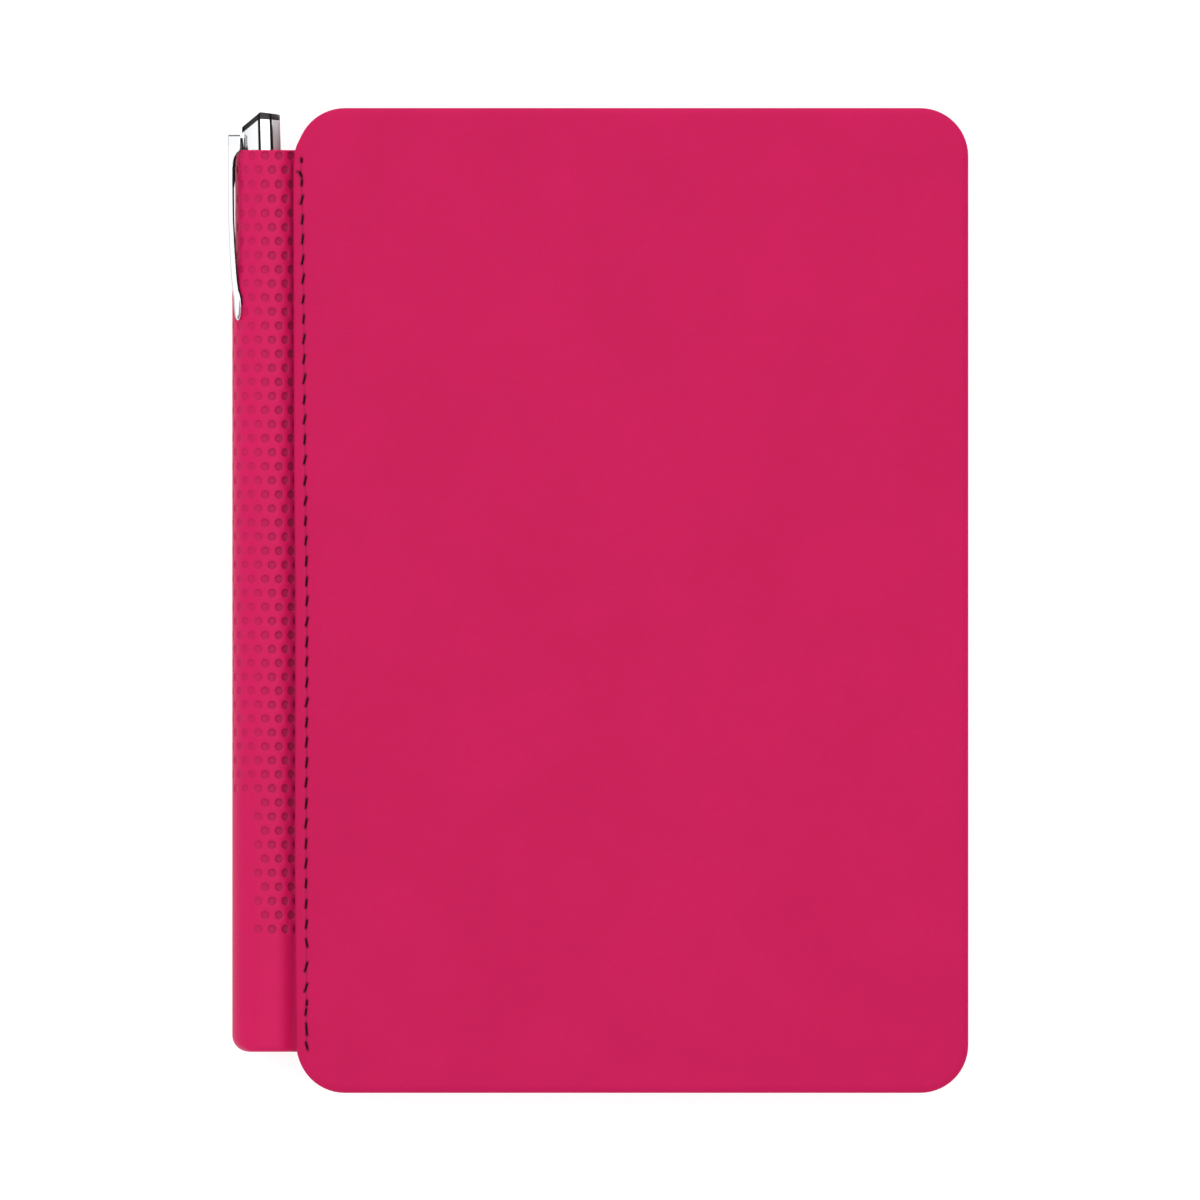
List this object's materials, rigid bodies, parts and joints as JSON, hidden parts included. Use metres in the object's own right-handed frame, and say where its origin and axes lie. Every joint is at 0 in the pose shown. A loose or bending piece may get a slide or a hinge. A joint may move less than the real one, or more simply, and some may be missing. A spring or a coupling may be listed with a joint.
{
  "type": "tablet folio case with pen sleeve",
  "caption": "Folio case for a slim tablet: padded leatherette covers with rounded corners, a moulded tray and a dimpled spine sleeve that holds a retractable pen.",
  "frame": {"origin": "centre of the back panel's outer face, on the surface the closed case lies on", "axes": "+X from the spine to the free edge, +Y to the top edge where the pen's button is, +Z out of the front cover"},
  "size_m": [0.1572, 0.209, 0.0147],
  "materials": {
    "leatherette": "satin",
    "board": "matte",
    "microfibre": "matte",
    "magnet": "satin",
    "thread": "matte",
    "soft_plastic": "satin",
    "adhesive": "matte",
    "tray_plastic": "matte",
    "chrome": "polished",
    "black_plastic": "gloss",
    "pen_barrel": "satin",
    "grip_rubber": "matte",
    "steel": "satin",
    "refill_plastic": "satin",
    "brass": "satin",
    "cam_plastic": "satin"
  },
  "bodies": {
    "back": {"back_skin": "leatherette", "back_board": "board", "back_lining": "microfibre", "back_flange": "soft_plastic", "back_stitches": "thread", "tray_adhesive": "adhesive", "tray_floor": "tray_plastic", "tray_wall_spine": "tray_plastic", "tray_wall_free": "tray_plastic", "tray_wall_bottom": "tray_plastic", "tray_wall_top": "tray_plastic", "tray_corner_bottom_free": "tray_plastic", "tray_corner_bottom_spine": "tray_plastic", "tray_corner_top_free": "tray_plastic", "tray_corner_top_spine": "tray_plastic", "tray_pad": "microfibre", "tray_magnets": "magnet"},
    "spine": {"pen_sleeve": "soft_plastic"},
    "cover": {"cover_skin": "leatherette", "cover_board": "board", "cover_lining": "microfibre", "cover_magnets": "magnet", "cover_stitches": "thread", "front_flange": "soft_plastic"},
    "pen": {"upper_barrel": "pen_barrel", "centre_ring": "chrome", "lower_barrel": "pen_barrel", "grip_sleeve": "grip_rubber", "nose_cone": "chrome", "clip_ring": "black_plastic", "cam_guide": "cam_plastic", "return_spring": "steel"},
    "clip": {"pen_clip": "chrome"},
    "plunger": {"push_button": "chrome", "button_cap": "black_plastic", "thrust_tube": "cam_plastic"},
    "refill": {"rotor": "cam_plastic", "refill_tube": "refill_plastic", "refill_tip": "brass", "refill_ball": "steel"}
  },
  "joints": [
    {"name": "spine_fold", "type": "hinge", "parent": "back", "child": "spine", "pos_m": [-0.0724, 0, 0.0021], "axis": [0, -1, 0], "range_deg": [0, 90], "stiffness_Nm_per_rad": 0.07},
    {"name": "cover_open", "type": "hinge", "parent": "spine", "child": "cover", "pos_m": [-0.0724, 0, 0.0126], "axis": [0, -1, 0], "range_deg": [0, 90]},
    {"name": "pen_draw", "type": "slide", "parent": "spine", "child": "pen", "axis": [0, 1, 0], "range_m": [0, 0.14]},
    {"name": "clip_flex", "type": "hinge", "parent": "pen", "child": "clip", "pos_m": [-0.08384, 0.0982, 0.00967], "axis": [-0.4226, 0, -0.9063], "range_deg": [0, 4], "stiffness_Nm_per_rad": 0.4},
    {"name": "pen_click", "type": "slide", "parent": "pen", "child": "plunger", "axis": [0, -1, 0], "range_m": [0, 0.005], "stiffness_N_per_m": 400},
    {"name": "refill_slide", "type": "slide", "parent": "pen", "child": "refill", "axis": [0, -1, 0], "range_m": [0, 0.005], "deforming": ["return_spring"]}
  ],
  "couplings": [
    {"joint": "refill_slide", "follows": "pen_click", "ratio": 1}
  ]
}
